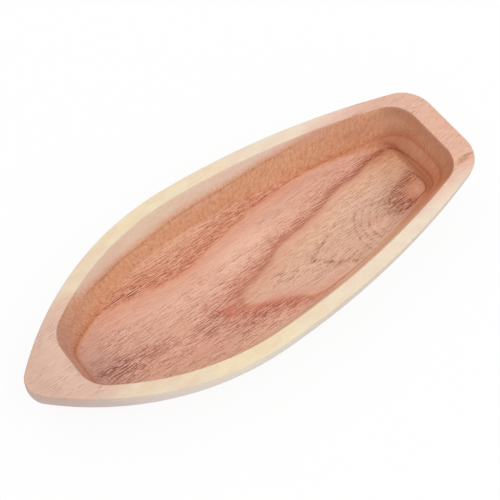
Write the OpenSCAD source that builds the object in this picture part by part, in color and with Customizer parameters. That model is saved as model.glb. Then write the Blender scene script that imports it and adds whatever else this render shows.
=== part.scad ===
/* [Outline] */
// Length from the transom to the tip of the bow
boat_length = 300; // [250:1:340]
// Width across the widest station
beam = 118; // [105:1:135]
// Distance from the transom forward to the widest station
beam_station = 172; // [150:1:190]
// Width of the transom, measured to where its rounded corners would meet
transom_width = 61.5; // [54:0.5:76]
// Radius of the rounded tip of the bow
bow_radius = 11; // [7:0.5:15]
// Radius of the two corners of the transom
stern_corner_radius = 20; // [16:0.5:25]

/* [Hull] */
// Height from the flat base to the rim
boat_height = 34; // [31:0.5:42]
// Depth of the upright band below the rim, before the side curves under
side_band = 3; // [2:0.5:8]
// Distance of the flat base's edge inside the outline of the rim
base_inset = 18; // [12:0.5:20]
// Rounding of the rim's outer edge
outer_edge_radius = 1; // [0.4:0.1:1.6]

/* [Pocket] */
// Width of the rim along both long sides
side_rim = 8; // [7:0.5:12]
// Width of the rim at the bow, from the tip to the pocket
bow_rim = 26.5; // [20:0.5:36]
// Width of the rim at the stern, from the transom to the pocket
stern_rim = 14.5; // [11:0.5:22]
// Depth of the pocket from the rim to its flat floor
pocket_depth = 28; // [16:0.5:29]
// Lean of the pocket's walls away from upright, in degrees
wall_lean = 20; // [10:1:24]
// Corner radius of the pocket at the bow, at the level of the rim
pocket_bow_radius = 18.5; // [16:0.5:24]
// Corner radius of the pocket at the stern, at the level of the rim
pocket_stern_radius = 17.5; // [16:0.5:24]
// Fillet where the walls meet the floor
floor_fillet = 4; // [2:0.5:7]
// Rounding of the rim's inner edge
inner_edge_radius = 0.6; // [0.3:0.1:1.2]

/* [Hidden] */

arc_steps = 540;      // fragments of a full turn on the long side arcs
corner_steps = 180;   // fragments of a full turn on the corners of the plan
section_steps = 96;   // fragments of a full turn on the curves of the sections
over = 2;             // how far a cutting shape runs past what it cuts
proud = 0.1;          // how far a corner's rounding stands outside the tangent, so that the faces cross
lap = 0.005;          // how far the wall's two roundings lie over its slope, so that they cross too

// Lengths that are worked out are kept to a micron, so that faces that meet do so exactly.
function micron(length) = round(length * 1000) / 1000;

// The origin is the middle of the length on the flat base, with the bow on +X.
bow_x = boat_length / 2;
stern_x = -boat_length / 2;
beam_x = stern_x + beam_station;
half_beam = beam / 2;

// Each side is two arcs that meet, with one tangent, at the widest station.
// The fore arc runs into the bow's rounding, the aft arc out to the transom's width.
fore_run = bow_x - beam_x - bow_radius;
fore_radius = micron((pow(fore_run, 2) + pow(half_beam, 2) - pow(bow_radius, 2)) / (beam - 2 * bow_radius));
aft_narrowing = half_beam - transom_width / 2;
aft_radius = micron((pow(beam_station, 2) + pow(aft_narrowing, 2)) / (2 * aft_narrowing));

// Distance of each arc's centre from the middle line, beyond it from the arc.
fore_centre = fore_radius - half_beam;
aft_centre = aft_radius - half_beam;

// Turns of the sectors that hold the fore and the aft arcs, measured from the widest station.
fore_sector = 90 - atan2(fore_centre - half_beam, bow_x - beam_x);
aft_sector = 90 - atan2(aft_centre - half_beam, beam_station);

// A rounded corner's centre is its radius inside its end of the boat and inside the side arc.
function corner_y(arc_radius, arc_centre, corner_radius, corner_x) =
    micron(sqrt(pow(arc_radius - corner_radius, 2) - pow(corner_x - beam_x, 2)) - arc_centre);

// The bearing, from the side arc's centre, at which the corner's rounding takes over.
function corner_bearing(arc_centre, corner_x, corner_y) = atan2(corner_y + arc_centre, corner_x - beam_x);

bow_centre_x = bow_x - bow_radius;
bow_bearing = corner_bearing(fore_centre, bow_centre_x, 0);

stern_corner_x = stern_x + stern_corner_radius;
stern_corner_y = corner_y(aft_radius, aft_centre, stern_corner_radius, stern_corner_x);
stern_bearing = corner_bearing(aft_centre, stern_corner_x, stern_corner_y);

// The pocket's sides are the same arcs, moved in by the width of the rim.
pocket_fore_radius = fore_radius - side_rim;
pocket_aft_radius = aft_radius - side_rim;
pocket_bow_x = bow_x - bow_rim;
pocket_stern_x = stern_x + stern_rim;

pocket_bow_corner_x = pocket_bow_x - pocket_bow_radius;
pocket_bow_corner_y = corner_y(pocket_fore_radius, fore_centre, pocket_bow_radius, pocket_bow_corner_x);
pocket_bow_bearing = corner_bearing(fore_centre, pocket_bow_corner_x, pocket_bow_corner_y);

pocket_stern_corner_x = pocket_stern_x + pocket_stern_radius;
pocket_stern_corner_y = corner_y(pocket_aft_radius, aft_centre, pocket_stern_radius, pocket_stern_corner_x);
pocket_stern_bearing = corner_bearing(aft_centre, pocket_stern_corner_x, pocket_stern_corner_y);

// Hull section: below the upright band, one arc runs down and in to the edge of the base.
band_z = boat_height - side_band;
bilge_radius = micron((pow(band_z, 2) + pow(base_inset, 2)) / (2 * base_inset));

// Pocket section: heights of the floor, of the fillet's centre and of the edge rounding's centre,
// and how far inside or outside the pocket's outline those two centres lie.
floor_z = boat_height - pocket_depth;
fillet_z = floor_z + floor_fillet;
edge_z = boat_height - inner_edge_radius;
fillet_inset = micron((boat_height - fillet_z) * tan(wall_lean) + floor_fillet / cos(wall_lean));
edge_outset = micron(inner_edge_radius / cos(wall_lean) - inner_edge_radius * tan(wall_lean));
foot_out = micron(floor_fillet * cos(wall_lean));
foot_down = micron(floor_fillet * sin(wall_lean));
head_in = micron(inner_edge_radius * cos(wall_lean));
head_up = micron(inner_edge_radius * sin(wall_lean));

// Section of the hull, from its axis out to the given radius at the rim
module hull_section(radius) {
    intersection() {
        translate([radius - bilge_radius, band_z])
            circle(r = bilge_radius, $fn = 2 * section_steps);
        translate([max(0, radius - bilge_radius), 0])
            square([min(radius, bilge_radius), band_z]);
    }
    if (radius > bilge_radius)
        square([radius - bilge_radius, band_z]);
    translate([0, band_z])
        square([radius, side_band - outer_edge_radius]);
    translate([0, boat_height - outer_edge_radius])
        square([radius - outer_edge_radius, outer_edge_radius]);
    translate([radius - outer_edge_radius, boat_height - outer_edge_radius])
        circle(r = outer_edge_radius, $fn = section_steps);
}

// Section of the pocket, from its axis out to the given radius at the rim
module pocket_section(radius) {
    fillet_r = radius - fillet_inset;
    foot_r = fillet_r + foot_out - lap;
    foot_z = fillet_z - foot_down;
    edge_r = radius + edge_outset - lap;
    head_r = edge_r + lap - head_in;
    head_z = edge_z + head_up;
    intersection() {
        translate([0, floor_z])
            square([radius + over, pocket_depth + over]);
        union() {
            polygon([
                [min(0, fillet_r), floor_z],
                [fillet_r, floor_z],
                [foot_r, foot_z],
                [radius, boat_height],
                [radius, boat_height + over],
                [min(0, fillet_r), boat_height + over]
            ]);
            translate([fillet_r, fillet_z])
                circle(r = floor_fillet, $fn = section_steps);
            // the inner edge of the rim, rounded over
            difference() {
                translate([head_r, head_z])
                    square([edge_r - head_r, boat_height + over - head_z]);
                translate([edge_r, edge_z])
                    circle(r = inner_edge_radius, $fn = section_steps);
            }
        }
    }
}

// Where the section turned about one side's centre meets the same section turned about the other's,
// from the widest station aft, or forward when it is flipped
module between_sides(arc_centre, sector, flip) {
    intersection_for(side = [0, 1])
        translate([beam_x, 0, 0])
            mirror([flip, 0, 0])
                mirror([0, side, 0])
                    translate([0, -arc_centre, 0])
                        rotate([0, 0, 90])
                            rotate_extrude(angle = sector, $fn = arc_steps)
                                children();
}

// The section carried straight across the boat, facing the bow at a turn of 0 or the stern at 180
module across(turn) {
    translate([beam_x, 0, 0])
        rotate([90, 0, turn])
            linear_extrude(height = beam + 2 * over, center = true)
                children();
}

// Everything beyond a corner's centre between two bearings
module corner_wedge(x, y, from, to) {
    middle = (from + to) / 2;
    far = 2 * boat_length;
    translate([x, y, -over])
        linear_extrude(height = boat_height + 3 * over)
            polygon([
                [0, 0],
                [far * cos(from), far * sin(from)],
                [2 * far * cos(middle), 2 * far * sin(middle)],
                [far * cos(to), far * sin(to)]
            ]);
}

// What the rounding of a corner takes away: all beyond its centre, outside the turned section
module corner_waste(x, y, from, to) {
    difference() {
        corner_wedge(x, y, from, to);
        translate([x, y, 0])
            rotate_extrude($fn = corner_steps)
                children();
    }
}

// The whole boat before the pocket is cut
module blank() {
    difference() {
        between_sides(fore_centre, fore_sector, 1)
            hull_section(fore_radius);
        corner_waste(bow_centre_x - proud, 0, -bow_bearing, bow_bearing)
            hull_section(bow_radius + proud);
    }
    difference() {
        intersection() {
            between_sides(aft_centre, aft_sector, 0)
                hull_section(aft_radius);
            across(180)
                hull_section(beam_station);
        }
        for (side = [0, 1])
            mirror([0, side, 0])
                corner_waste(stern_corner_x, stern_corner_y, stern_bearing, 180)
                    hull_section(stern_corner_radius + proud);
    }
}

// What is cut from the blank, up through the rim
module pocket() {
    difference() {
        intersection() {
            between_sides(fore_centre, fore_sector, 1)
                pocket_section(pocket_fore_radius);
            across(0)
                pocket_section(pocket_bow_x - beam_x);
        }
        for (side = [0, 1])
            mirror([0, side, 0])
                corner_waste(pocket_bow_corner_x, pocket_bow_corner_y, 0, pocket_bow_bearing)
                    pocket_section(pocket_bow_radius + proud);
    }
    difference() {
        intersection() {
            between_sides(aft_centre, aft_sector, 0)
                pocket_section(pocket_aft_radius);
            across(180)
                pocket_section(beam_x - pocket_stern_x);
        }
        for (side = [0, 1])
            mirror([0, side, 0])
                corner_waste(pocket_stern_corner_x, pocket_stern_corner_y, pocket_stern_bearing, 180)
                    pocket_section(pocket_stern_radius + proud);
    }
}

// One piece of wood, cut to the outline, rounded under and hollowed from above
module boat() {
    color([0.87, 0.70, 0.58])
        difference() {
            blank();
            pocket();
        }
}

boat();
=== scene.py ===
import math
import bmesh
import bpy
import numpy as np
from mathutils import Matrix, Vector


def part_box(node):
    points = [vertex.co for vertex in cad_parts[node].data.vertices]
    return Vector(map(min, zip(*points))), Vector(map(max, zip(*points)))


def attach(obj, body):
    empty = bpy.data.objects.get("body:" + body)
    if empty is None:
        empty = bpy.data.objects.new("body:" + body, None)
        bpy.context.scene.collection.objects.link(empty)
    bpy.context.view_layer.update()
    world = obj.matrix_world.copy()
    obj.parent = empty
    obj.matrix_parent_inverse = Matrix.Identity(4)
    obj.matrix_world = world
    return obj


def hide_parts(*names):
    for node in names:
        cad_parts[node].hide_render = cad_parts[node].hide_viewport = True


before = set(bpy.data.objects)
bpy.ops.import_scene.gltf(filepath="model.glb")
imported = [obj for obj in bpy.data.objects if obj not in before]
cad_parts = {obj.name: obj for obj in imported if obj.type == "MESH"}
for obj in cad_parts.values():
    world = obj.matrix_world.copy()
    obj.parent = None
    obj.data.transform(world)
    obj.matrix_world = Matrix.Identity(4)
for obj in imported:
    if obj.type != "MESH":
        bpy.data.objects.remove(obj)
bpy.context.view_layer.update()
lowCorner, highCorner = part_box("boat")
mm = 0.001
fullTurn = 2.0 * math.pi

# Camera, fitted to the rim's and the pocket's edges; it looks at a point in the plane of the rim
view = {
    "azimuth": 133.92,
    "elevation": 59.38,
    "roll": 9.32,
    "distance": 669.6 * mm,
    "target": (4.79 * mm, 1.71 * mm),
    "focalPixels": 1195.8,
    "imagePixels": 500,
    "sensor": 36.0,
    "nearest": 0.01,              # metres, between which the camera sees
    "farthest": 20.0,
}


def makeCamera():
    # back points from the target to the camera, right and up lie across it and are then rolled
    turn, tilt, roll = (math.radians(view[name]) for name in ("azimuth", "elevation", "roll"))
    back = Vector((math.sin(turn) * math.cos(tilt), -math.cos(turn) * math.cos(tilt), math.sin(tilt)))
    flatRight = Vector((math.cos(turn), math.sin(turn), 0))
    flatUp = back.cross(flatRight)
    right = flatRight * math.cos(roll) + flatUp * math.sin(roll)
    up = flatUp * math.cos(roll) - flatRight * math.sin(roll)
    lens = bpy.data.cameras.new("camera")
    lens.sensor_width = view["sensor"]
    lens.lens = view["focalPixels"] * view["sensor"] / view["imagePixels"]
    lens.clip_start = view["nearest"]
    lens.clip_end = view["farthest"]
    camera = bpy.data.objects.new("camera", lens)
    bpy.context.scene.collection.objects.link(camera)
    target = Vector((*view["target"], highCorner.z))
    turned = Matrix((right, up, back)).transposed().to_4x4()
    camera.matrix_world = Matrix.Translation(target + back * view["distance"]) @ turned
    bpy.context.scene.camera = camera


makeCamera()
print("camera placed")


def linear(red, green, blue):
    # a colour as it is seen, 0 to 255, turned into the linear values that a shader takes
    seen = np.array((red, green, blue)) / 255
    straight = np.where(seen <= 0.04045, seen / 12.92, ((seen + 0.055) / 1.055) ** 2.4)
    return (*(float(value) for value in straight), 1.0)


class Wire:
    # a shader value; arithmetic on it adds Math nodes
    def __init__(self, bench, socket):
        self.bench = bench
        self.socket = socket

    def work(self, operation, *values):
        return self.bench.add("ShaderNodeMath", {"operation": operation}, dict(enumerate(values)))

    def __add__(self, other):
        return self.work("ADD", self, other)

    def __radd__(self, other):
        return self.work("ADD", other, self)

    def __sub__(self, other):
        return self.work("SUBTRACT", self, other)

    def __rsub__(self, other):
        return self.work("SUBTRACT", other, self)

    def __mul__(self, other):
        return self.work("MULTIPLY", self, other)

    def __rmul__(self, other):
        return self.work("MULTIPLY", other, self)

    def __truediv__(self, other):
        return self.work("DIVIDE", self, other)

    def __pow__(self, other):
        return self.work("POWER", self, other)

    def least(self, other):
        return self.work("MINIMUM", self, other)

    def most(self, other):
        return self.work("MAXIMUM", self, other)

    def size(self):
        return self.work("ABSOLUTE", self)

    def rise(self, start, end):
        # 0 up to start, 1 past end, smooth between; it falls where start is the higher of the two
        ends = {"Value": self, "From Min": start, "From Max": end, "To Min": 0.0, "To Max": 1.0}
        return self.bench.add("ShaderNodeMapRange", {"interpolation_type": "SMOOTHSTEP"}, ends)


class Bench:
    # adds nodes to one material and joins them
    def __init__(self, tree):
        self.tree = tree

    def add(self, kind, settings, inputs, output=0):
        node = self.tree.nodes.new(kind)
        for name, value in settings.items():
            if name == "stops":
                self.setStops(node.color_ramp, value)
            elif name == "points":
                self.setPoints(node.mapping, value)
            else:
                setattr(node, name, value)
        for name, value in inputs.items():
            if isinstance(value, Wire):
                self.tree.links.new(value.socket, node.inputs[name])
            else:
                node.inputs[name].default_value = value
        return Wire(self, node.outputs[output])

    def setStops(self, ramp, stops):
        while len(ramp.elements) < len(stops):
            ramp.elements.new(1.0)
        for element, (place, colour) in zip(ramp.elements, stops):
            element.position = place
            element.color = colour

    def setPoints(self, mapping, points):
        curve = mapping.curves[0]
        while len(curve.points) < len(points):
            curve.points.new(1.0, 1.0)
        for point, place in zip(curve.points, points):
            point.location = place
        mapping.update()

    def blend(self, share, one, other, way="MIX"):
        # Mix node on colours: inputs 0, 6 and 7 are the factor and the two colours, output 2 is the
        # result; a colour is a wire or its three values
        one, other = (value if isinstance(value, Wire) else (*value[:3], 1.0) for value in (one, other))
        settings = {"data_type": "RGBA", "blend_type": way, "clamp_factor": True}
        return self.add("ShaderNodeMix", settings, {0: share, 6: one, 7: other}, 2)

    def tint(self, share, colour, tone):
        # the colour multiplied by a tone, as far as share says
        return self.blend(share, colour, tone, "MULTIPLY")

    def ramp(self, value, stops):
        return self.add("ShaderNodeValToRGB", {"stops": stops}, {"Fac": value})

    def curve(self, value, points):
        return self.add("ShaderNodeFloatCurve", {"points": points}, {"Value": value})

    def stretch(self, place, scale, shift=(0.0, 0.0, 0.0)):
        return self.add("ShaderNodeMapping", {}, {"Vector": place, "Scale": scale, "Location": shift})

    def noise(self, place, detail, roughness=0.5):
        values = {"Vector": place, "Scale": 1.0, "Detail": detail, "Roughness": roughness}
        return self.add("ShaderNodeTexNoise", {}, values)

    def wave(self, turns):
        # half of one plus the sine
        return self.add("ShaderNodeMath", {"operation": "SINE"}, {0: turns}) * 0.5 + 0.5

    def split(self, vector):
        return [self.add("ShaderNodeSeparateXYZ", {}, {"Vector": vector}, axis) for axis in range(3)]


# The boat: sizes as the real one has them, with its length, beam and height taken from the frame
boat = {
    "beamStation": 172 * mm,      # from the transom forward to the widest station
    "transomWidth": 61.5 * mm,
    "bowRadius": 11 * mm,
    "sternCorner": 20 * mm,
    "sideBand": 3 * mm,           # upright band below the rim
    "baseInset": 18 * mm,
    "outerEdge": 1 * mm,
    "sideRim": 8 * mm,
    "bowRim": 26.5 * mm,
    "sternRim": 14.5 * mm,
    "pocketDepth": 28 * mm,
    "wallLean": math.radians(20),
    "pocketBowCorner": 18.5 * mm,
    "pocketSternCorner": 17.5 * mm,
    "floorFillet": 4 * mm,
    "innerEdge": 0.6 * mm,
    "baseLine": (60 * mm, 70 * mm),       # how far from stern and bow the line in the base's middle ends
    "floorLine": (60 * mm, 80 * mm),      # the same in the pocket's floor
    "halfColumns": 361,                   # points on half an outline, from the stern's middle to the bow's
    "arcPoints": 300,
    "bilgeRings": 18,
    "bandRings": 5,
    "outerEdgeRings": 9,
    "innerEdgeRings": 7,
    "wallRings": 18,
    "filletRings": 12,
    "baseShares": (0.0, 0.3, 0.6, 0.85, 0.97, 0.995),     # where rings lie, from the line to the edge
    "rimShares": (0.02, 0.1, 0.3, 0.5, 0.7, 0.9, 0.98),
    "floorShares": (0.01, 0.05, 0.15, 0.3, 0.5, 0.7, 0.85, 1.0),
    "weld": 0.002 * mm,                   # points nearer to each other than this become one
}
bowX = highCorner.x
sternX = lowCorner.x
halfBeam = highCorner.y
rimZ = highCorner.z
beamX = sternX + boat["beamStation"]
foreRun = bowX - beamX - boat["bowRadius"]
foreRadius = (foreRun ** 2 + halfBeam ** 2 - boat["bowRadius"] ** 2) / (2 * (halfBeam - boat["bowRadius"]))
aftNarrowing = halfBeam - boat["transomWidth"] / 2
aftRadius = (boat["beamStation"] ** 2 + aftNarrowing ** 2) / (2 * aftNarrowing)
foreCentre = foreRadius - halfBeam
aftCentre = aftRadius - halfBeam


def arc(centre, radius, start, end):
    # centre plus the radius along the cosine and sine of an even run of angles
    angles = np.linspace(start, end, boat["arcPoints"])
    return np.stack((centre[0] + radius * np.cos(angles), centre[1] + radius * np.sin(angles)), 1)


def cornerArc(sideRadius, sideCentre, radius, centreX, endAngle):
    # a corner inside a side arc: its centre is its radius inside that arc, and the bearing of that
    # centre from the side arc's centre is where the corner takes over
    centreY = math.sqrt((sideRadius - radius) ** 2 - (centreX - beamX) ** 2) - sideCentre
    bearing = math.atan2(centreY + sideCentre, centreX - beamX)
    return bearing, arc((centreX, centreY), radius, endAngle, bearing)


def hullHalf(inset):
    # half the outline, moved in: straight transom, turned corner, aft arc, fore arc, turned bow.
    # Once the inset passes the bow's radius, the two fore arcs meet in a point on the middle line.
    corner = boat["sternCorner"] - inset
    tip = max(boat["bowRadius"] - inset, 0.0)
    cornerX = sternX + boat["sternCorner"]
    sternBearing, sternArc = cornerArc(aftRadius - inset, aftCentre, corner, cornerX, math.pi)
    bowBearing = math.asin(foreCentre / (foreRadius - inset - tip))
    bowCentreX = beamX + (foreRadius - inset - tip) * math.cos(bowBearing)
    parts = [
        np.array([[sternX + inset, 0.0]]),
        sternArc,
        arc((beamX, -aftCentre), aftRadius - inset, sternBearing, math.pi / 2),
        arc((beamX, -foreCentre), foreRadius - inset, math.pi / 2, bowBearing),
        arc((bowCentreX, 0.0), tip, bowBearing, 0.0),
    ]
    return spread(np.vstack(parts))


def pocketHalf(inset):
    # the same arcs moved in by the rim and the inset, with turned corners and a straight wall at each end
    inward = boat["sideRim"] + inset
    sternWall = sternX + boat["sternRim"]
    bowWall = bowX - boat["bowRim"]
    sternCorner = boat["pocketSternCorner"]
    bowCorner = boat["pocketBowCorner"]
    sternBearing, sternArc = cornerArc(
        aftRadius - inward, aftCentre, sternCorner - inset, sternWall + sternCorner, math.pi
    )
    bowBearing, bowArc = cornerArc(
        foreRadius - inward, foreCentre, bowCorner - inset, bowWall - bowCorner, 0.0
    )
    parts = [
        np.array([[sternWall + inset, 0.0]]),
        sternArc,
        arc((beamX, -aftCentre), aftRadius - inward, sternBearing, math.pi / 2),
        arc((beamX, -foreCentre), foreRadius - inward, math.pi / 2, bowBearing),
        bowArc[::-1],
        np.array([[bowWall - inset, 0.0]]),
    ]
    return spread(np.vstack(parts))


def spread(line):
    # the line's points spaced evenly by the distance run along it
    run = np.concatenate(([0.0], np.cumsum(np.hypot(*np.diff(line, axis=0).T))))
    even = np.linspace(0.0, run[-1], boat["halfColumns"])
    return np.stack((np.interp(even, run, line[:, 0]), np.interp(even, run, line[:, 1])), 1)


def ring(half, height):
    # both halves of an outline as one closed ring at one height, or at a height for each ring
    mirrored = half[-2:0:-1] * (1, -1)
    flat = np.vstack((half, mirrored))
    return np.column_stack((flat, np.full(len(flat), height)))


def towards(one, other, shares):
    # rings between two rings, each a share of the way from the first to the second
    return [one + (other - one) * share for share in shares]


def folded(edge, ends):
    # the ring drawn in onto the middle line, where its two halves meet
    line = edge.copy()
    line[:, 0] = np.clip(edge[:, 0], *ends)
    line[:, 1] = 0.0
    return line


def boatRings():
    # The section is carried round the plan: base, bilge arc, upright band, outer rounding, rim,
    # inner rounding, leaning wall, fillet and floor. Each ring is tagged with its share of pocket wall
    # and its share of outside.
    bandZ = rimZ - boat["sideBand"]
    bilge = (bandZ ** 2 + boat["baseInset"] ** 2) / (2 * boat["baseInset"])
    lean = boat["wallLean"]
    floorZ = rimZ - boat["pocketDepth"]
    fillet, edge, rounding = boat["floorFillet"], boat["innerEdge"], boat["outerEdge"]
    filletZ = floorZ + fillet
    filletInset = (rimZ - filletZ) * math.tan(lean) + fillet / math.cos(lean)
    edgeOut = edge / math.cos(lean) - edge * math.tan(lean)
    rings, shares = [], []

    def lay(more, wall=0.0, outside=0.0):
        rings.extend(more)
        shares.extend([(wall, outside)] * len(more))

    baseEdge = ring(hullHalf(boat["baseInset"]), 0.0)
    baseLine = folded(baseEdge, (sternX + boat["baseLine"][0], bowX - boat["baseLine"][1]))
    lay(towards(baseLine, baseEdge, boat["baseShares"]), 0.0, 1.0)
    for angle in np.linspace(math.asin(bandZ / bilge), 0.0, boat["bilgeRings"]):
        lay([ring(hullHalf(bilge * (1 - math.cos(angle))), bandZ - bilge * math.sin(angle))], 0.0, 1.0)
    for height in np.linspace(bandZ, rimZ - rounding, boat["bandRings"])[1:-1]:
        lay([ring(hullHalf(0.0), height)], 0.0, 1.0)
    for angle in np.linspace(0.0, math.pi / 2, boat["outerEdgeRings"]):
        height = rimZ - rounding * (1 - math.sin(angle))
        lay([ring(hullHalf(rounding * (1 - math.cos(angle))), height)], 0.0, (rimZ - height) / rounding)
    rimInner = ring(pocketHalf(-edgeOut), rimZ)
    lay(towards(rings[-1], rimInner, boat["rimShares"]))
    for angle in np.linspace(math.pi / 2, lean, boat["innerEdgeRings"]):
        height = rimZ - edge * (1 - math.sin(angle))
        lay([ring(pocketHalf(edge * math.cos(angle) - edgeOut), height)], (rimZ - height) / edge)
    wallHead = rings[-1]
    wallFoot = ring(pocketHalf(filletInset - fillet * math.cos(lean)), filletZ - fillet * math.sin(lean))
    lay(towards(wallHead, wallFoot, np.linspace(0.0, 1.0, boat["wallRings"])[1:-1]), 1.0)
    for angle in np.linspace(lean, math.pi / 2, boat["filletRings"]):
        share = (math.pi / 2 - angle) / (math.pi / 2 - lean)
        inset = filletInset - fillet * math.cos(angle)
        lay([ring(pocketHalf(inset), filletZ - fillet * math.sin(angle))], share)
    floorEdge = rings[-1]
    floorLine = folded(floorEdge, (sternX + boat["floorLine"][0], bowX - boat["floorLine"][1]))
    lay(towards(floorEdge, floorLine, boat["floorShares"]))
    return np.array(rings), dict(zip(("pocketWall", "outside"), np.array(shares).T))


def makeShell(name, rings, tags):
    # A grid of quads between rings, closed round each ring. The UV map holds the distance run
    # round the boat and the distance run along the section, in metres.
    rows, columns = rings.shape[:2]
    index = np.arange(rows * columns).reshape(rows, columns)
    after = np.roll(index, -1, 1)
    quads = np.stack((index[:-1], after[:-1], after[1:], index[1:]), -1).reshape(-1, 4)
    mesh = bpy.data.meshes.new(name)
    mesh.from_pydata(rings.reshape(-1, 3), [], quads.tolist())
    mesh.update()
    middle = rings[:, columns // 4]
    down = np.concatenate(([0.0], np.cumsum(np.linalg.norm(np.diff(middle, axis=0), axis=1))))
    lengthRound = float(np.linalg.norm(np.diff(rings[rows // 2], axis=0), axis=1).sum())
    along = np.linspace(0.0, lengthRound, columns + 1)
    low, high = np.meshgrid(down[:-1], along[:-1], indexing="ij")
    low2, high2 = np.meshgrid(down[1:], along[1:], indexing="ij")
    corners = np.stack((high, low, high2, low, high2, low2, high, low2), -1)
    mesh.uv_layers.new(name="run").data.foreach_set("uv", corners.astype(np.float32).ravel())
    for tagName, values in tags.items():
        tag = mesh.attributes.new(tagName, "FLOAT", "POINT")
        tag.data.foreach_set("value", np.repeat(values, columns).astype(np.float32))
    shell = bmesh.new()
    shell.from_mesh(mesh)
    bmesh.ops.remove_doubles(shell, verts=shell.verts, dist=boat["weld"])
    bmesh.ops.recalc_face_normals(shell, faces=shell.faces)
    shell.to_mesh(mesh)
    shell.free()
    mesh.polygons.foreach_set("use_smooth", [True] * len(mesh.polygons))
    piece = bpy.data.objects.new(name, mesh)
    bpy.context.scene.collection.objects.link(piece)
    return piece


wood = {
    "heartCentre": 17.3,          # mm to the near side of the middle line, where the rings have their crown
    "heartShift": 1.9,            # mm that the crown moves over at the tip of the strong V
    "courseLength": 300.0,        # mm of the boat that the courses below run along
    "floorLevel": 6.0,            # mm, the level at which the rings' course was read
    "rimLevel": 34.0,
    "ringRise": 200.0,            # how fast the rings close in with height
    "crownTilt": 0.82,            # mm that the crown moves across for each mm of height
    "ridge": 8.0,                 # mm each side of the crown within which the rings narrow to a point
    "pointed": 20.0,              # how sharply they do
    "softCrown": 2.0,             # and how blunt the point is, in square mm
    "growthPitch": 1.4,           # mm from one faint growth line to the next
    "fineTip": -30.0,             # mm, where the fine V inside the strong one has its tip
    "fineNear": 1.7,              # mm that its near arm runs aft for each mm across
    "fineFar": 2.6,               # and its far arm
    "curl": (-104.0, 24.0),       # mm, the place round which the arcs near the stern run
    "curlSquash": 1.3,            # how much tighter they are across the boat than along it
    "firstArc": 26.2,             # mm from that place to where the wave of arcs starts
    "arcPitch": 5.2,              # mm from one arc to the next
    "stippled": ((-103.0, 16.0), (15.0, 12.5)),    # middle and reach of the dots round the curl
    "smooth": ((-118.0, 14.5), (10.0, 6.5)),       # and of the smooth wood inside it
    "mainRing": 36.6,             # mm, radius of the strong V's ring
    "largestRing": 100.0,         # mm, the radius at which the tables below end
    "wander": 1.0,                # mm that the rings stray slowly along the boat
    "fray": 0.8,                  # mm that single fibres stand out of a ring's edge
    "dashes": (0.6, 2.2, 2.2),    # short pores: cells for each mm along, across and up
    "lines": (0.24, 1.6, 1.6),    # long ones
    "dashShare": 0.6,
    "lineShare": 0.8,
    "sawShare": 0.7,
    "poreEdge": 0.26,             # how softly pores fade at their edges
    "sawPitch": 1.3,              # mm from one fine saw line to the next
    "crossPitch": 1.9,            # mm along the boat from one lift of the saw to the next
    "darkPores": 1.0,
    "lightPores": 0.4,
    "farRise": 1.2,               # how much faster the rings grow with height in the far wall
    "roughness": 0.5,
    "relief": 0.12 * mm,          # depth of pores and raised fibre
    "reliefStrength": 0.6,
}

# Pale wood along the sides, in mm
sapwood = {
    "halfWidth": 39.0,            # from the middle of the darker wood to the sapwood, at the rim amidships
    "shift": 3.0,                 # how far that middle lies to the far side
    "sternShift": 4.0,            # and how much farther it lies there at the stern
    "narrowing": 0.0015,          # narrower by this times the square of the distance forward
    "narrowingEnd": 95.0,         # as far forward as this
    "bowWidening": 0.25,          # wider again by this for each mm past it
    "flare": 0.45,                # wider by this for each mm down from the rim
    "nearFlare": 0.6,             # and by this more on the near side
    "spread": 1.8,                # how softly the boundary fades
    "bowSpread": 13.0,            # and how much more softly at the bow, at the stern and on the walls
    "sternSpread": 9.0,
    "wallSpread": 2.0,
}

# Noises in the wood: cells for each mm along, across and up, shift, detail and roughness
noises = {
    "wander": ((0.03, 0.06, 0.06), (0.0, 0.0, 0.0), 2.0, 0.5),     # slow straying of the rings
    "fray": ((0.16, 1.4, 1.4), (0.0, 0.0, 0.0), 2.0, 0.6),         # single fibres at a ring's edge
    "dots": ((0.7, 1.0, 1.0), (3.0, 5.0, 7.0), 0.0, 0.5),          # breaks in the fine V, and stipple
    "cloud": ((0.035, 0.2, 0.2), (1.0, 4.0, 8.0), 2.0, 0.5),       # where pores gather
    "uneven": ((0.06, 0.1, 0.1), (2.0, 6.0, 4.0), 2.0, 0.5),       # uneven steps between fine lines
    "slow": ((0.018, 0.07, 0.07), (3.0, 7.0, 1.0), 2.0, 0.5),      # slow changes of tone
    "streak": ((0.035, 0.8, 0.8), (9.0, 2.0, 5.0), 3.0, 0.6),      # soft streaks along the fibre
    "drift": ((0.07, 0.3, 0.3), (5.0, 1.0, 2.0), 1.0, 0.5),        # bends in the saw lines
    "gate": ((0.17, 0.6, 0.6), (4.0, 9.0, 6.0), 1.0, 0.5),         # where saw lines show
    "cool": ((0.1, 0.17, 0.17), (7.0, 3.0, 2.0), 2.0, 0.5),        # cooler patches in the rim
    "sapTone": ((0.05, 0.18, 0.18), (0.0, 0.0, 0.0), 3.0, 0.5),    # tones of the sapwood
}

# The same on the pocket's walls, with cells for each mm round the wall and up it
wallNoises = {
    "mottle": ((0.55, 0.28, 1.0), (0.0, 0.0, 0.0), 3.0, 0.65),
    "fuzz": ((0.85, 0.12, 1.0), (0.0, 0.0, 0.0), 2.0, 0.6),
}

# Colours, red, green and blue from 0 to 255
paints = {
    "streak": (243, 208, 186),
    "wall": (226, 168, 138),
    "pore": (252, 222, 200),
    "sapBowDark": (241, 218, 181),
    "sapBowPale": (241, 225, 191),
    "sapSternDark": (242, 218, 195),
    "sapSternPale": (240, 223, 199),
}

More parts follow.
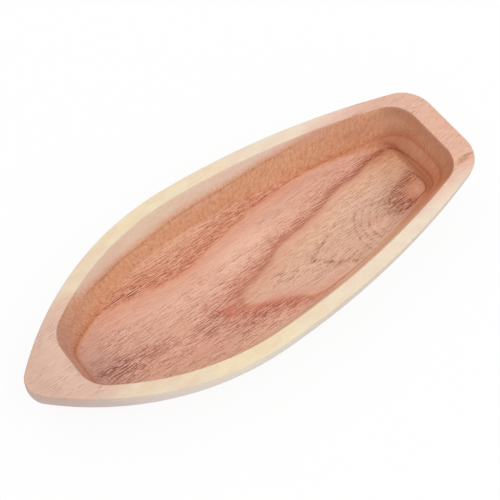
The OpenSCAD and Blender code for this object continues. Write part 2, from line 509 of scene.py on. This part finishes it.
# Tones that the colour under them is multiplied by
tones = {
    "growthLine": (0.82, 0.74, 0.71),
    "arc": (0.78, 0.7, 0.67),
    "fineV": (0.68, 0.59, 0.54),
    "strongRing": (0.9, 0.84, 0.82),
    "stipple": (0.62, 0.52, 0.47),
    "slow": (0.88, 0.82, 0.8),
    "streak": (0.84, 0.76, 0.73),
    "poreInner": (0.62, 0.52, 0.45),      # inside the strong V
    "poreOuter": (0.6, 0.44, 0.4),        # outside it
    "wallDark": (0.97, 0.88, 0.74),
    "wallPale": (1.04, 1.14, 1.04),
    "wallNear": (1.05, 1.17, 1.13),
    "wallEnds": (0.85, 0.8, 0.7),
    "fuzz": (0.84, 0.77, 0.74),
    "sapWallDark": (0.96, 0.88, 1.02),
    "sapWallPale": (0.99, 0.97, 1.1),
    "sapPore": (0.7, 0.6, 0.5),
    "sapBow": (0.95, 0.92, 0.98),
    "redLine": (0.82, 0.68, 0.6),
    "coolRim": (0.975, 0.955, 0.985),
    # painted highlight on the rounding between the near wall and the rim
    "edge": (1.1, 1.08, 1.08),
    # painted shade: the outside's grey, cooler low down and warmer at the rim
    "outsideShadeLow": (0.96, 0.98, 1.05),
    "outsideShadeHigh": (1.04, 1.01, 0.94),
}

# Course of the rings' crown along the boat: share of the length from the stern, and share of
# crownSpan, in square mm
crownSpan = 2600.0
crownCourse = [
    (0.0, 0.008), (0.09, 0.046), (0.133, 0.07), (0.167, 0.1), (0.193, 0.136), (0.233, 0.152), (0.3, 0.26),
    (0.333, 0.29), (0.367, 0.318), (0.4, 0.336), (0.433, 0.363), (0.46, 0.414), (0.5, 0.458), (0.533, 0.48),
    (0.567, 0.514), (0.587, 0.556), (0.607, 0.577), (0.65, 0.6), (0.7, 0.635), (0.85, 0.81), (1.0, 0.97),
]

# How far the rings of the far side lie out of true along the boat: 0.5 is true, 1 is half of farSpan in
farSpan = 20.0
farCourse = [
    (0.0, 0.5), (0.333, 0.46), (0.5, 0.56), (0.6, 0.675), (0.7, 0.515), (0.76, 0.325), (0.833, 0.22),
    (1.0, 0.2),
]

# Colour of the wood against the ring's radius in mm
ringColours = [
    (0, (231, 176, 150)),
    (12, (229, 171, 143)),
    (14.5, (206, 142, 110)),
    (17, (184, 120, 86)),
    (19, (213, 167, 141)),
    (22, (224, 181, 157)),
    (27.6, (229, 185, 157)),
    (28.5, (228, 182, 153)),
    (29.4, (230, 185, 156)),
    (33, (226, 175, 145)),
    (35.1, (215, 159, 131)),
    (36.2, (186, 114, 84)),
    (37.2, (201, 130, 103)),
    (40, (223, 164, 140)),
    (44, (229, 176, 151)),
    (50, (230, 177, 153)),
    (55.6, (228, 169, 140)),
    (56.8, (225, 158, 127)),
    (58, (206, 125, 91)),
    (63, (217, 146, 111)),
    (72, (229, 173, 145)),
    (84, (233, 184, 159)),
    (100, (230, 184, 160)),
]

# The same on the near side of the crown, between the tip of the V and the near wall
nearRingColours = [
    (0, (231, 176, 150)),
    (12, (229, 171, 143)),
    (14.5, (189, 109, 83)),
    (17, (210, 144, 116)),
    (19, (227, 181, 156)),
    (22, (228, 182, 156)),
    (27.6, (230, 185, 157)),
    (28.5, (228, 183, 155)),
    (29.4, (229, 184, 156)),
    (33, (226, 178, 154)),
    (35.1, (225, 167, 140)),
    (36.2, (203, 123, 95)),
    (37.2, (201, 125, 97)),
    (40, (217, 156, 132)),
    (44, (221, 169, 142)),
    (50, (217, 156, 131)),
    (58, (214, 152, 127)),
    (72, (210, 149, 124)),
    (100, (205, 146, 122)),
]

# How many pores show, against the ring's radius as a share of largestRing
poreCourse = [
    (0.0, 0.05), (0.13, 0.2), (0.155, 0.9), (0.18, 0.5), (0.2, 0.4), (0.26, 0.48), (0.3, 0.48),
    (0.325, 0.35), (0.345, 0.1), (0.362, 0.25), (0.385, 0.65), (0.43, 0.45), (0.48, 0.35), (0.515, 0.1),
    (0.56, 0.1), (0.59, 0.7), (0.66, 0.7), (0.75, 0.45), (0.85, 0.3), (1.0, 0.3),
]

# Painted shade on the outside, a grey standing for the sides in shade: share of the length from the stern,
# and colour
outsideShadeTones = [
    (0.0, (194, 184, 174)), (0.3, (207, 197, 186)), (0.45, (208, 199, 188)), (0.55, (216, 208, 199)),
    (0.68, (229, 217, 204)), (0.8, (222, 208, 201)), (0.9, (204, 189, 182)), (0.96, (194, 170, 164)),
]

# Places in the floor and rim where the wood differs, and a few of painted light and shade: middle and reach
# along and across in mm, tone, and pores added
patches = [
    ((26.0, 16.0), (8.0, 6.5), (0.93, 0.78, 0.72), -0.5),     # smooth red wood before the tip of the V
    ((38.0, 16.0), (15.0, 8.0), (0.8, 0.67, 0.66), 0.25),     # dark streaks past it
    ((33.0, 7.0), (11.0, 7.0), (0.93, 0.85, 0.83), 0.1),      # and on their far side
    ((8.0, 3.5), (15.0, 5.0), (1.09, 1.15, 1.17), 0.0),       # pale wood along the V's far arm
    ((57.0, 8.0), (9.0, 5.5), (1.0, 1.02, 1.0), -0.5),        # smooth wood on their bow side
    ((-12.5, 14.0), (6.5, 2.2), (0.9, 0.83, 0.8), 0.5),       # two short dark marks inside the V
    ((-13.5, 19.4), (6.5, 1.8), (0.9, 0.83, 0.8), 0.5),
    ((92.0, 12.0), (6.0, 4.0), (0.86, 0.76, 0.74), 0.3),      # two darker places near the bow
    ((102.0, 6.0), (11.0, 3.0), (0.86, 0.76, 0.75), 0.3),
    ((-20.0, -3.0), (26.0, 6.0), (1.05, 1.1, 1.11), -0.1),    # paler wood beside the V's far arm
    ((-11.0, 15.0), (14.0, 7.0), (0.94, 0.9, 0.89), 0.1),     # darker wood inside the V
    ((14.0, 26.0), (24.0, 5.0), (0.94, 0.86, 0.83), 0.15),    # dark band beside the V's near arm
    ((92.0, 10.0), (34.0, 10.0), (0.83, 0.7, 0.68), 0.4),     # dark streaks towards the bow
    ((106.0, 3.0), (22.0, 12.0), (0.88, 0.82, 0.83), 0.2),    # mauve wood at the bow's wall
    ((88.0, 4.0), (44.0, 22.0), (0.9, 0.88, 0.88), 0.0),      # darker floor in the bow third, partly painted shade and partly darker wood
    ((70.0, -26.5), (18.0, 4.5), (0.93, 0.82, 0.78), 0.4),    # dark red end of the outer ring
    ((54.0, 27.0), (11.0, 5.0), (1.03, 1.05, 1.05), -0.5),    # pale smooth spot beside the V
    ((-98.0, -6.0), (30.0, 8.0), (1.0, 0.99, 0.92), 0.0),     # yellower wood inside the V
    ((-117.0, 14.0), (8.0, 6.0), (1.03, 1.13, 1.17), -0.9),   # smooth pale wood inside the curl
    ((-101.0, 20.0), (9.0, 8.5), (0.92, 0.88, 0.87), 0.5),    # dark pores round the curl's tip
    ((-82.0, 17.0), (12.0, 14.0), (1.1, 1.16, 1.18), -0.1),   # paler wood on its bow side
    ((-114.0, -16.0), (20.0, 6.0), (0.93, 0.87, 0.74), 0.2),  # tan wood at the stern's far side
    ((2.0, 37.0), (50.0, 6.0), (1.2, 1.3, 1.31), 0.1),        # painted light on the floor along the near wall, lifting its shadow
    ((-12.0, -14.0), (48.0, 7.0), (1.1, 1.16, 1.18), -0.15),  # paler wood on the V's far side
    ((-98.0, -40.5), (24.0, 5.5), (1.04, 1.12, 1.22), 0.0),   # paler far rim near the stern
    ((30.0, -37.0), (40.0, 5.0), (1.07, 1.12, 1.12), -0.1),   # paler wood at the far wall's foot
    ((-138.0, 26.0), (9.0, 3.0), (0.84, 0.74, 0.64), 0.2),    # brown streak in the rim's near stern corner
    ((-140.0, 25.5), (8.0, 1.8), (0.82, 0.72, 0.64), 0.6),    # the streak's dark core
    ((-104.0, -35.5), (14.0, 1.8), (0.98, 0.88, 0.84), 0.3),  # pink streak in the far rim
    ((-40.0, 33.0), (26.0, 5.0), (1.08, 1.1, 1.13), 0.0),     # more painted light along the near wall, farther aft
    ((8.0, -6.0), (20.0, 5.0), (1.07, 1.11, 1.12), 0.0),      # pale wood on the V's far side, by its tip
    ((0.0, -32.0), (34.0, 5.0), (1.05, 1.1, 1.08), 0.0),      # and along the far wall's foot
    ((90.0, -9.0), (18.0, 8.0), (0.98, 0.97, 0.98), 0.35),    # more pores towards the bow
    ((28.0, 14.0), (10.0, 6.0), (1.0, 0.86, 0.83), 0.0),      # redder wood at the V's tip
    ((-32.0, 14.0), (18.0, 7.0), (0.95, 0.92, 0.92), 0.0),    # darker wood round the fine V's tip
    ((-109.0, 23.0), (9.0, 4.0), (1.0, 0.77, 0.7), 0.0),      # red wood in the curl
]

# Places on the pocket's walls that differ: side (1 near, -1 far), middle and reach along and up in
# mm, and tone
wallPatches = [
    (1, (-45.0, 13.0), (19.0, 9.0), (1.06, 1.12, 1.17)),
    (1, (-15.0, 13.0), (16.0, 9.0), (0.9, 0.82, 0.87)),
    (1, (16.0, 13.0), (18.0, 9.0), (1.0, 1.14, 1.24)),
    (1, (-122.0, 17.0), (13.0, 13.0), (1.02, 0.89, 0.78)),    # the near stern corner
    (-1, (-46.0, 8.0), (19.0, 5.0), (1.1, 1.2, 1.26)),
    (-1, (75.0, 8.0), (18.0, 5.0), (1.05, 1.12, 1.14)),
    (-1, (75.0, 28.0), (19.0, 9.0), (0.9, 0.83, 0.8)),
    (-1, (103.0, 29.0), (14.0, 6.0), (1.07, 1.1, 1.09)),
    (-1, (15.0, 22.0), (22.0, 6.0), (1.02, 1.06, 1.13)),
    (-1, (-104.0, 22.0), (17.0, 6.0), (0.93, 0.88, 0.89)),
    (-1, (-76.0, 30.0), (18.0, 6.0), (1.0, 1.03, 1.12)),
]

# Zones that differ: part of the boat, the spans in mm over which the tone sets in, and the tone.
# First the stern wall's middle, the near wall's foot, and the far wall towards the stern.
wallZones = [
    ("wall", [("along", -112.0, -130.0), ("height", 14.0, 19.0), ("height", 29.0, 24.0)], (1.04, 1.1, 1.15)),
    ("wall", [("across", 12.0, 30.0), ("height", 24.0, 14.0), ("along", -98.0, -66.0)], (1.04, 1.22, 1.32)),
    ("wall", [("along", -50.0, -90.0), ("across", 0.0, -15.0), ("height", 12.0, 20.0)], (0.97, 0.94, 0.92)),
]

# The same over the finished wood: the wall and rim towards the bow, painted shade in the foot of both end
# walls, the bow wall and its middle, the stern wall's foot (painted shade), head and near corner (darker
# heartwood and painted shade), and both ends of the pocket, with painted shade over its bow end
zones = [
    ("wall", [("along", 52.0, 80.0), ("height", 16.0, 22.0)], (0.95, 0.91, 0.92)),
    ("rimTop", [("along", 98.0, 122.0)], (0.95, 1.05, 1.09)),
    ("rimTop", [("along", 126.0, 142.0)], (0.92, 0.9, 0.88)),
    # painted shade in the foot of the bow and stern walls
    ("wallFoot", [("along", 104.0, 122.0), ("height", 12.0, 8.0)], (0.77, 0.67, 0.63)),
    ("wallFoot", [("along", -112.0, -130.0), ("height", 12.0, 8.0)], (0.77, 0.67, 0.63)),
    ("wall", [("along", 104.0, 122.0)], (1.08, 1.12, 1.2)),
    ("wall", [("along", 104.0, 122.0), ("height", 10.0, 14.0), ("height", 22.0, 18.0)], (1.09, 1.11, 1.18)),
    # painted shade lower down the stern wall
    ("wallFoot", [("along", -110.0, -124.0), ("height", 18.0, 10.0)], (1.0, 0.93, 0.89)),
    ("wall", [("along", -118.0, -130.0), ("height", 24.0, 33.0)], (0.87, 0.82, 0.8)),
    # darker heartwood and painted shade in the near stern corner
    ("wall", [("along", -82.0, -108.0), ("across", 12.0, 30.0)], (0.88, 0.75, 0.7)),
    # painted shade over the bow end of the pocket
    ("pocket", [("along", 84.0, 120.0)], (0.84, 0.88, 0.93)),
    ("pocket", [("along", -96.0, -128.0), ("height", 10.0, 7.0)], (0.97, 0.85, 0.74)),
]


class Grain:
    # what all stages of the wood share: places in mm, parts of the boat, and noises
    def __init__(self, bench):
        self.bench = bench
        metres = bench.add("ShaderNodeTexCoord", {}, {}, 3)
        self.place = bench.stretch(metres, (1.0 / mm, 1.0 / mm, 1.0 / mm))
        self.along, self.across, self.height = bench.split(self.place)
        self.share = self.along / wood["courseLength"] + 0.5
        self.wall = bench.add("ShaderNodeAttribute", {"attribute_name": "pocketWall"}, {}, 2)
        self.outside = bench.add("ShaderNodeAttribute", {"attribute_name": "outside"}, {}, 2)
        self.rim = self.height.rise(33.2, 33.9)
        self.level = 1.0 - self.wall
        self.onFloor = self.level * self.height.rise(12.0, 7.0)
        self.near = self.across.rise(12.0, 30.0)
        uv = bench.add("ShaderNodeUVMap", {"uv_map": "run"}, {})
        runPlace = bench.stretch(uv, (1.0 / mm, 1.0 / mm, 1.0))
        for where, table in ((self.place, noises), (runPlace, wallNoises)):
            for name, (cells, shift, detail, roughness) in table.items():
                setattr(self, name, bench.noise(bench.stretch(where, cells, shift), detail, roughness))
        # these two go both ways from nothing
        self.wander = self.wander - 0.5
        self.fray = self.fray - 0.5


def ringField(grain):
    # Root of the squares of the distances across and below, and the crown's course along the boat.
    # The crown moves over at the V's tip, the rings narrow to a point beside it, the far side
    # swells, and the far wall's rings grow faster with height.
    along, across = grain.along, grain.across
    above = grain.height - wood["floorLevel"]
    fromHeart = across - wood["heartCentre"]
    atTip = along.rise(-20.0, 16.0) * along.rise(40.0, 24.0) * fromHeart.size().rise(24.0, 12.0)
    offset = fromHeart + above * wood["crownTilt"] + grain.wander * wood["wander"]
    offset = offset + atTip * wood["heartShift"]
    crown = grain.bench.curve(grain.share, crownCourse) * crownSpan
    fromCrown = (offset * offset + wood["softCrown"]) ** 0.5
    sharp = along.rise(-100.0, -60.0) * along.rise(24.0, 2.0) * wood["pointed"]
    pointed = (fromCrown.least(wood["ridge"]) - wood["ridge"]) * sharp
    squared = offset * offset + above * (above + wood["ringRise"]) + crown + pointed
    swell = (grain.bench.curve(grain.share, farCourse) - 0.5) * farSpan * offset.rise(-12.0, -40.0)
    lifted = above.most(0.0) * across.rise(-8.0, -30.0) * wood["farRise"]
    return squared.most(0.0) ** 0.5 + swell + lifted + grain.fray * wood["fray"]


def hatch(grain, cells, shift):
    # a stretched noise less the same noise most of a cell farther across: thin lines, dark beside light
    bench = grain.bench
    here = bench.noise(bench.stretch(grain.place, cells, (shift, shift, shift)), 0.0)
    beside = bench.noise(bench.stretch(grain.place, cells, (shift, shift + 0.6, shift + 0.6)), 0.0)
    return here - beside


def ellipse(along, across, middle, reach):
    # 0 in the middle of an ellipse, 1 on its edge: root of the squares of the shares of its reach
    shareAlong = (along - middle[0]) / reach[0]
    shareAcross = (across - middle[1]) / reach[1]
    return (shareAlong * shareAlong + shareAcross * shareAcross) ** 0.5


def drawRings(grain, radius):
    # the rings' colours, with their own ramp on the near side of the crown in the floor
    bench = grain.bench
    ringShare = radius / wood["largestRing"]
    heart = wood["heartCentre"]
    nearSide = grain.across.rise(heart - 7.0, heart + 5.0) * grain.height.rise(12.0, 7.0)
    ramps = []
    for table in (ringColours, nearRingColours):
        stops = [(stop / wood["largestRing"], linear(*colour)) for stop, colour in table]
        ramps.append(bench.ramp(ringShare, stops))
    return bench.blend(nearSide, *ramps), bench.curve(ringShare, poreCourse)


def drawLines(grain, radius, colour, many):
    # fine lines over the rings; each also brings pores
    bench, along, across = grain.bench, grain.along, grain.across
    fray, uneven, cloud = grain.fray, grain.uneven, grain.cloud

    # faint growth lines, much closer together than the strong rings
    turns = (radius + uneven * 5.0 + fray * 0.5) * (fullTurn / wood["growthPitch"])
    growth = bench.wave(turns) ** 2.0 * 0.2 * (uneven + fray * 0.6).rise(0.3, 0.55)
    colour = bench.tint(growth, colour, tones["growthLine"])
    many = many + growth * 0.3

    # arcs round the curl, rounder than the rings: root of the squares of the distances from it
    curlX = along - wood["curl"][0]
    curlY = (across - wood["curl"][1]) * wood["curlSquash"]
    curlRadius = (curlX * curlX + curlY * curlY) ** 0.5 + (uneven - 0.5) * 5.0 + fray * 0.6
    arcTurns = (curlRadius - wood["firstArc"]) * (fullTurn / wood["arcPitch"])
    arcsSeen = curlRadius.rise(20.0, 25.0) * curlRadius.rise(43.0, 39.0) * across.rise(3.0, 10.0)
    arcLine = bench.wave(arcTurns) ** 3.0 * arcsSeen * grain.onFloor * (fray + cloud).rise(0.2, 0.6)
    colour = bench.tint(arcLine, colour, tones["arc"])
    many = many + arcLine * 0.5

    # the fine V inside the strong one, a broken line that fades towards the stern
    broken = (fray + grain.dots * 0.8 + cloud * 0.5 - 0.4).rise(0.0, 0.35)
    fromHeart = across - wood["heartCentre"]
    arms = fromHeart.most(0.0) * wood["fineNear"] + (0.0 - fromHeart).most(0.0) * wood["fineFar"]
    fromV = (along - wood["fineTip"] + arms + fray * 4.0 + (uneven - 0.5) * 10.0).size()
    fineV = fromV.rise(4.2, 0.8) * along.rise(-70.0, -48.0) * broken * grain.onFloor
    colour = bench.tint(fineV, colour, tones["fineV"])
    many = many + fineV * 0.3

    # the strong ring is darkest towards the stern
    mainLine = (radius - wood["mainRing"]).size().rise(2.4, 0.4) * along.rise(-45.0, -100.0)
    return bench.tint(mainLine, colour, tones["strongRing"]), many


def drawPatches(grain, colour, many):
    # each patch is an ellipse with ragged edges, 1 in its middle and 0 outside
    bench, along, across = grain.bench, grain.along, grain.across
    ragged = grain.fray * 0.5 + grain.wander * 0.8
    for middle, reach, tone, poresAdded in patches:
        away = ellipse(along, across, middle, reach) + ragged
        share = away.rise(1.05, 0.3) * grain.level
        colour = bench.tint(share, colour, tone)
        if poresAdded:
            many = many + share * poresAdded

    # stipple round the curl, outside the smooth wood in it
    aroundCurl = ellipse(along, across, *wood["stippled"]).rise(1.1, 0.6)
    pastSmooth = ellipse(along, across, *wood["smooth"]).rise(0.8, 1.2)
    stipple = aroundCurl * pastSmooth * grain.onFloor * grain.dots.rise(0.48, 0.62)
    return bench.tint(stipple * 0.75, colour, tones["stipple"]), many


def drawStreaks(grain, colour):
    # slow changes of tone, and soft streaks along the fibre, fainter on the walls and the rim
    bench, streak = grain.bench, grain.streak
    colour = bench.tint(grain.slow.rise(0.35, 0.75) * 0.2, colour, tones["slow"])
    share = (grain.level * 0.7 + 0.3) * (1.0 - grain.rim * 0.35)
    colour = bench.tint(streak.rise(0.48, 0.72) * share * 0.28, colour, tones["streak"])
    return bench.blend(streak.rise(0.5, 0.24) * share * 0.25, colour, linear(*paints["streak"]))


def paintZones(grain, rows, colour):
    # each row's part of the boat takes its tone as far as all of its spans have set in
    parts = {
        "wall": grain.wall,
        "wallFoot": grain.wall.rise(0.0, 0.5),
        "rimTop": grain.rim * (1.0 - grain.outside),
        "pocket": (1.0 - grain.rim) * (1.0 - grain.outside),
    }
    for part, spans, tone in rows:
        share = parts[part]
        for measure, start, end in spans:
            share = share * getattr(grain, measure).rise(start, end)
        colour = grain.bench.tint(share, colour, tone)
    return colour


def drawWall(grain, colour):
    # pocket wall: warmer, mottled, with fuzzy fibre that the cutter raised up the wall, and fainter rings
    bench, wall = grain.bench, grain.wall
    ends = grain.along.rise(104.0, 122.0) + grain.along.rise(-112.0, -130.0)
    ringsSeen = (ends * 0.3 + grain.height.rise(13.0, 9.0) * 0.25).least(0.4)
    colour = bench.blend(wall * (0.6 - ringsSeen), colour, linear(*paints["wall"]))
    wallTone = bench.blend(grain.mottle.rise(0.38, 0.64), tones["wallDark"], tones["wallPale"])
    wallTone = bench.blend(grain.near * 0.8, wallTone, tones["wallNear"])
    wallTone = bench.blend(ends, wallTone, tones["wallEnds"])
    colour = bench.tint(wall, colour, wallTone)
    colour = bench.tint(wall * grain.fuzz.rise(0.42, 0.68) * 0.7, colour, tones["fuzz"])
    colour = paintZones(grain, wallZones, colour)
    ragged = (grain.mottle - 0.5) * 0.8
    for side, middle, reach, tone in wallPatches:
        away = ellipse(grain.along, grain.height, middle, reach) + ragged
        share = away.rise(1.1, 0.3) * wall * (grain.across * side).rise(0.0, 8.0)
        colour = bench.tint(share, colour, tone)
    return colour


def drawPores(grain, radius, colour, many):
    # dashes along the fibre and the saw's fine lines, many in a ring's early wood and few in its late wood
    bench, cloud = grain.bench, grain.cloud
    many = (many + (cloud - 0.5) * (0.5 - many * 0.4)).most(0.0).least(1.0)
    dashes = hatch(grain, wood["dashes"], 5.0) * wood["dashShare"]
    lines = hatch(grain, wood["lines"], 9.0) * wood["lineShare"]
    saw = grain.across * (fullTurn / wood["sawPitch"]) + grain.drift * 14.0
    crossing = grain.along * (fullTurn / wood["crossPitch"]) + grain.drift * 9.0
    sawLines = (bench.wave(saw) - 0.5) * (bench.wave(crossing) * 1.1 + 0.35)
    pores = dashes + lines + sawLines * grain.gate.rise(0.38, 0.62) * wood["sawShare"]
    threshold = 0.1 - many * 0.1
    dark = pores.rise(threshold, threshold + wood["poreEdge"])
    light = (0.0 - pores).rise(threshold, threshold + wood["poreEdge"])
    onRim = 1.0 - grain.rim * (0.75 - cloud.rise(0.42, 0.58) * 0.65)
    share = (many * 0.9 + 0.18) * (grain.level * 0.6 + 0.4) * onRim
    poreTone = bench.blend(radius.rise(32.0, 36.0), tones["poreInner"], tones["poreOuter"])
    colour = bench.tint(dark * share * wood["darkPores"], colour, poreTone)
    colour = bench.blend(light * share * wood["lightPores"], colour, linear(*paints["pore"]))
    return colour, dark, light, share


def drawSapwood(grain, colour, poreDark):
    # outside a boundary that narrows with the square of the distance forward and widens downwards
    bench, along, across, wall = grain.bench, grain.along, grain.across, grain.wall
    fore = along.most(0.0).least(sapwood["narrowingEnd"])
    bowWard = (along - sapwood["narrowingEnd"]).most(0.0) * sapwood["bowWidening"]
    down = (wood["rimLevel"] - grain.height) * (grain.near * sapwood["nearFlare"] + sapwood["flare"])
    boundary = sapwood["halfWidth"] - fore * fore * sapwood["narrowing"] + bowWard + down
    sternShift = along.rise(-80.0, -130.0) * sapwood["sternShift"]
    middle = across + sapwood["shift"] + sternShift + grain.wander * 2.4
    reach = middle.size() - boundary + grain.fray * 0.8
    spreadBow = along.rise(80.0, 125.0) * sapwood["bowSpread"]
    spreadStern = along.rise(-40.0, -110.0) * sapwood["sternSpread"]
    spreadOut = spreadBow + spreadStern + sapwood["spread"] + wall * sapwood["wallSpread"]
    sap = (reach / spreadOut).rise(-0.6, 1.0)

    # its colour goes from one pair at the stern to another at the bow
    mixed = grain.sapTone.rise(0.35, 0.65)
    sapBow = bench.blend(mixed, linear(*paints["sapBowDark"]), linear(*paints["sapBowPale"]))
    sapStern = bench.blend(mixed, linear(*paints["sapSternDark"]), linear(*paints["sapSternPale"]))
    sapColour = bench.blend(along.rise(-90.0, 40.0), sapStern, sapBow)
    sapWall = bench.blend(grain.mottle.rise(0.3, 0.7), tones["sapWallDark"], tones["sapWallPale"])
    sapColour = bench.tint(wall, sapColour, sapWall)
    sapColour = bench.tint(poreDark * 0.12, sapColour, tones["sapPore"])

    # a red line runs inside the boundary on the walls, where the boundary is sharp
    redLine = reach.rise(-2.8, -1.5) * reach.rise(-0.4, -1.5) * spreadOut.rise(9.8, 3.8)
    colour = bench.tint(redLine * wall * 0.75, colour, tones["redLine"])
    colour = bench.blend(sap, colour, sapColour)

    # off the walls it is a little darker and less green towards the bow
    return bench.tint(sap * along.rise(58.0, 86.0) * grain.level, colour, tones["sapBow"])


def drawRim(grain, colour):
    # soft cooler patches, and a thin painted highlight on the rounding between the near wall and the rim
    bench, wall = grain.bench, grain.wall
    colour = bench.tint(grain.rim * grain.cool.rise(0.42, 0.6), colour, tones["coolRim"])
    edgeHighlight = wall.rise(0.0, 0.3) * wall.rise(1.0, 0.6) * grain.height.rise(33.0, 33.3) * grain.near
    return bench.tint(edgeHighlight, colour, tones["edge"])


def drawOutsideShade(grain, colour):
    # painted shade: a grey over the outside standing for the sides in shade, palest forward of amidships,
    # warmer at the rim than below, cooler low down where the side faces the floor; there is less of it low
    # on the sides and on the stern's face
    bench, height = grain.bench, grain.height
    shadeGrey = bench.ramp(grain.share, [(share, linear(*tone)) for share, tone in outsideShadeTones])
    warmth = bench.blend(height.rise(22.0, 33.0), tones["outsideShadeLow"], tones["outsideShadeHigh"])
    shadeGrey = bench.tint(1.0, shadeGrey, warmth)
    sternFace = grain.along.rise(-141.0, -149.5)
    shadeShare = grain.outside * (height.rise(8.0, 22.0) * 0.42 + 0.4) * (1.0 - sternFace * 0.4)
    return bench.blend(shadeShare, colour, shadeGrey)


def makeWood():
    # the wood in stages, from the rings to the zones that differ; many is how many pores show
    material = bpy.data.materials.new("boatWood")
    material.use_nodes = True
    tree = material.node_tree
    tree.nodes.clear()
    grain = Grain(Bench(tree))
    radius = ringField(grain)
    colour, many = drawRings(grain, radius)
    colour, many = drawLines(grain, radius, colour, many)
    colour, many = drawPatches(grain, colour, many)
    colour = drawStreaks(grain, colour)
    colour = drawWall(grain, colour)
    colour, poreDark, poreLight, poreShare = drawPores(grain, radius, colour, many)
    colour = drawSapwood(grain, colour, poreDark)
    colour = drawRim(grain, colour)
    colour = drawOutsideShade(grain, colour)
    colour = paintZones(grain, zones, colour)

    # pores are rougher and lie lower than the sanded wood between them
    fuzz = grain.fuzz * grain.wall
    roughness = poreDark * 0.12 + fuzz * 0.16 + wood["roughness"]
    relief = poreLight * poreShare * 0.4 - poreDark * poreShare + fuzz * 0.8 + grain.streak * 0.3
    lift = {"Height": relief, "Distance": wood["relief"], "Strength": wood["reliefStrength"]}
    bump = grain.bench.add("ShaderNodeBump", {}, lift)
    shader = tree.nodes.new("ShaderNodeBsdfPrincipled")
    output = tree.nodes.new("ShaderNodeOutputMaterial")
    tree.links.new(shader.outputs[0], output.inputs[0])
    tree.links.new(colour.socket, shader.inputs["Base Color"])
    tree.links.new(roughness.socket, shader.inputs["Roughness"])
    tree.links.new(bump.socket, shader.inputs["Normal"])
    return material


boatPiece = makeShell("woodenBoat", *boatRings())
boatPiece.data.materials.append(makeWood())
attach(boatPiece, "root")
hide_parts("boat")
print("boat made,", len(boatPiece.data.polygons), "faces")

studio = {
    "floorSize": 6.0,
    "floorColour": (252, 252, 252),
    "floorDrop": 0.05 * mm,       # how far the floor lies below the boat
    "whiteShare": 0.9,            # how much of the floor's shadow is washed out for the camera
    "skyStrength": 0.72,
    "lamps": [                    # name, power, size and place
        ("key", 21.4, 2.4, (-0.65, 1.4, 2.3)),
        ("fill", 8.2, 2.0, (0.1, -1.6, 2.1)),
    ],
}


def seenRays(bench):
    # 1 for the rays that a picture shows: outputs 0, 3 and 6 of the light path are camera, glossy and
    # transmission
    rays = [bench.add("ShaderNodeLightPath", {}, {}, number) for number in (0, 3, 6)]
    return (rays[0] + rays[1] + rays[2]).least(1.0)


def makeFloor():
    # a pale floor that shows white, and keeps the boat's shadow
    mesh = bpy.data.meshes.new("floor")
    half = studio["floorSize"] / 2
    corners = [(-half, -half, 0), (half, -half, 0), (half, half, 0), (-half, half, 0)]
    mesh.from_pydata(corners, [], [(0, 1, 2, 3)])
    floor = bpy.data.objects.new("floor", mesh)
    bpy.context.scene.collection.objects.link(floor)
    floor.location.z = lowCorner.z - studio["floorDrop"]
    material = bpy.data.materials.new("floorWhite")
    material.use_nodes = True
    tree = material.node_tree
    tree.nodes.clear()
    bench = Bench(tree)
    matt = bench.add("ShaderNodeBsdfDiffuse", {}, {"Color": linear(*studio["floorColour"])})
    white = bench.add("ShaderNodeEmission", {}, {"Color": (1.0, 1.0, 1.0, 1.0), "Strength": 1.0})
    seen = seenRays(bench)
    mixed = bench.add("ShaderNodeMixShader", {}, {0: seen * studio["whiteShare"], 1: matt, 2: white})
    output = tree.nodes.new("ShaderNodeOutputMaterial")
    tree.links.new(mixed.socket, output.inputs[0])
    mesh.materials.append(material)


def makeLight():
    world = bpy.data.worlds.new("studio")
    bpy.context.scene.world = world
    world.use_nodes = True
    tree = world.node_tree
    tree.nodes.clear()
    bench = Bench(tree)
    seen = seenRays(bench)
    strength = seen * (1.0 - studio["skyStrength"]) + studio["skyStrength"]
    sky = bench.add("ShaderNodeBackground", {}, {"Color": (1.0, 1.0, 1.0, 1.0), "Strength": strength})
    output = tree.nodes.new("ShaderNodeOutputWorld")
    tree.links.new(sky.socket, output.inputs[0])
    for name, power, size, place in studio["lamps"]:
        lamp = bpy.data.lights.new(name, "AREA")
        lamp.energy = power
        lamp.size = size
        carrier = bpy.data.objects.new(name, lamp)
        bpy.context.scene.collection.objects.link(carrier)
        carrier.location = place
        carrier.rotation_mode = "QUATERNION"
        carrier.rotation_quaternion = (-Vector(place)).to_track_quat("-Z", "Y")


makeFloor()
makeLight()
bpy.context.scene.view_settings.view_transform = "Standard"
print("floor and light made")
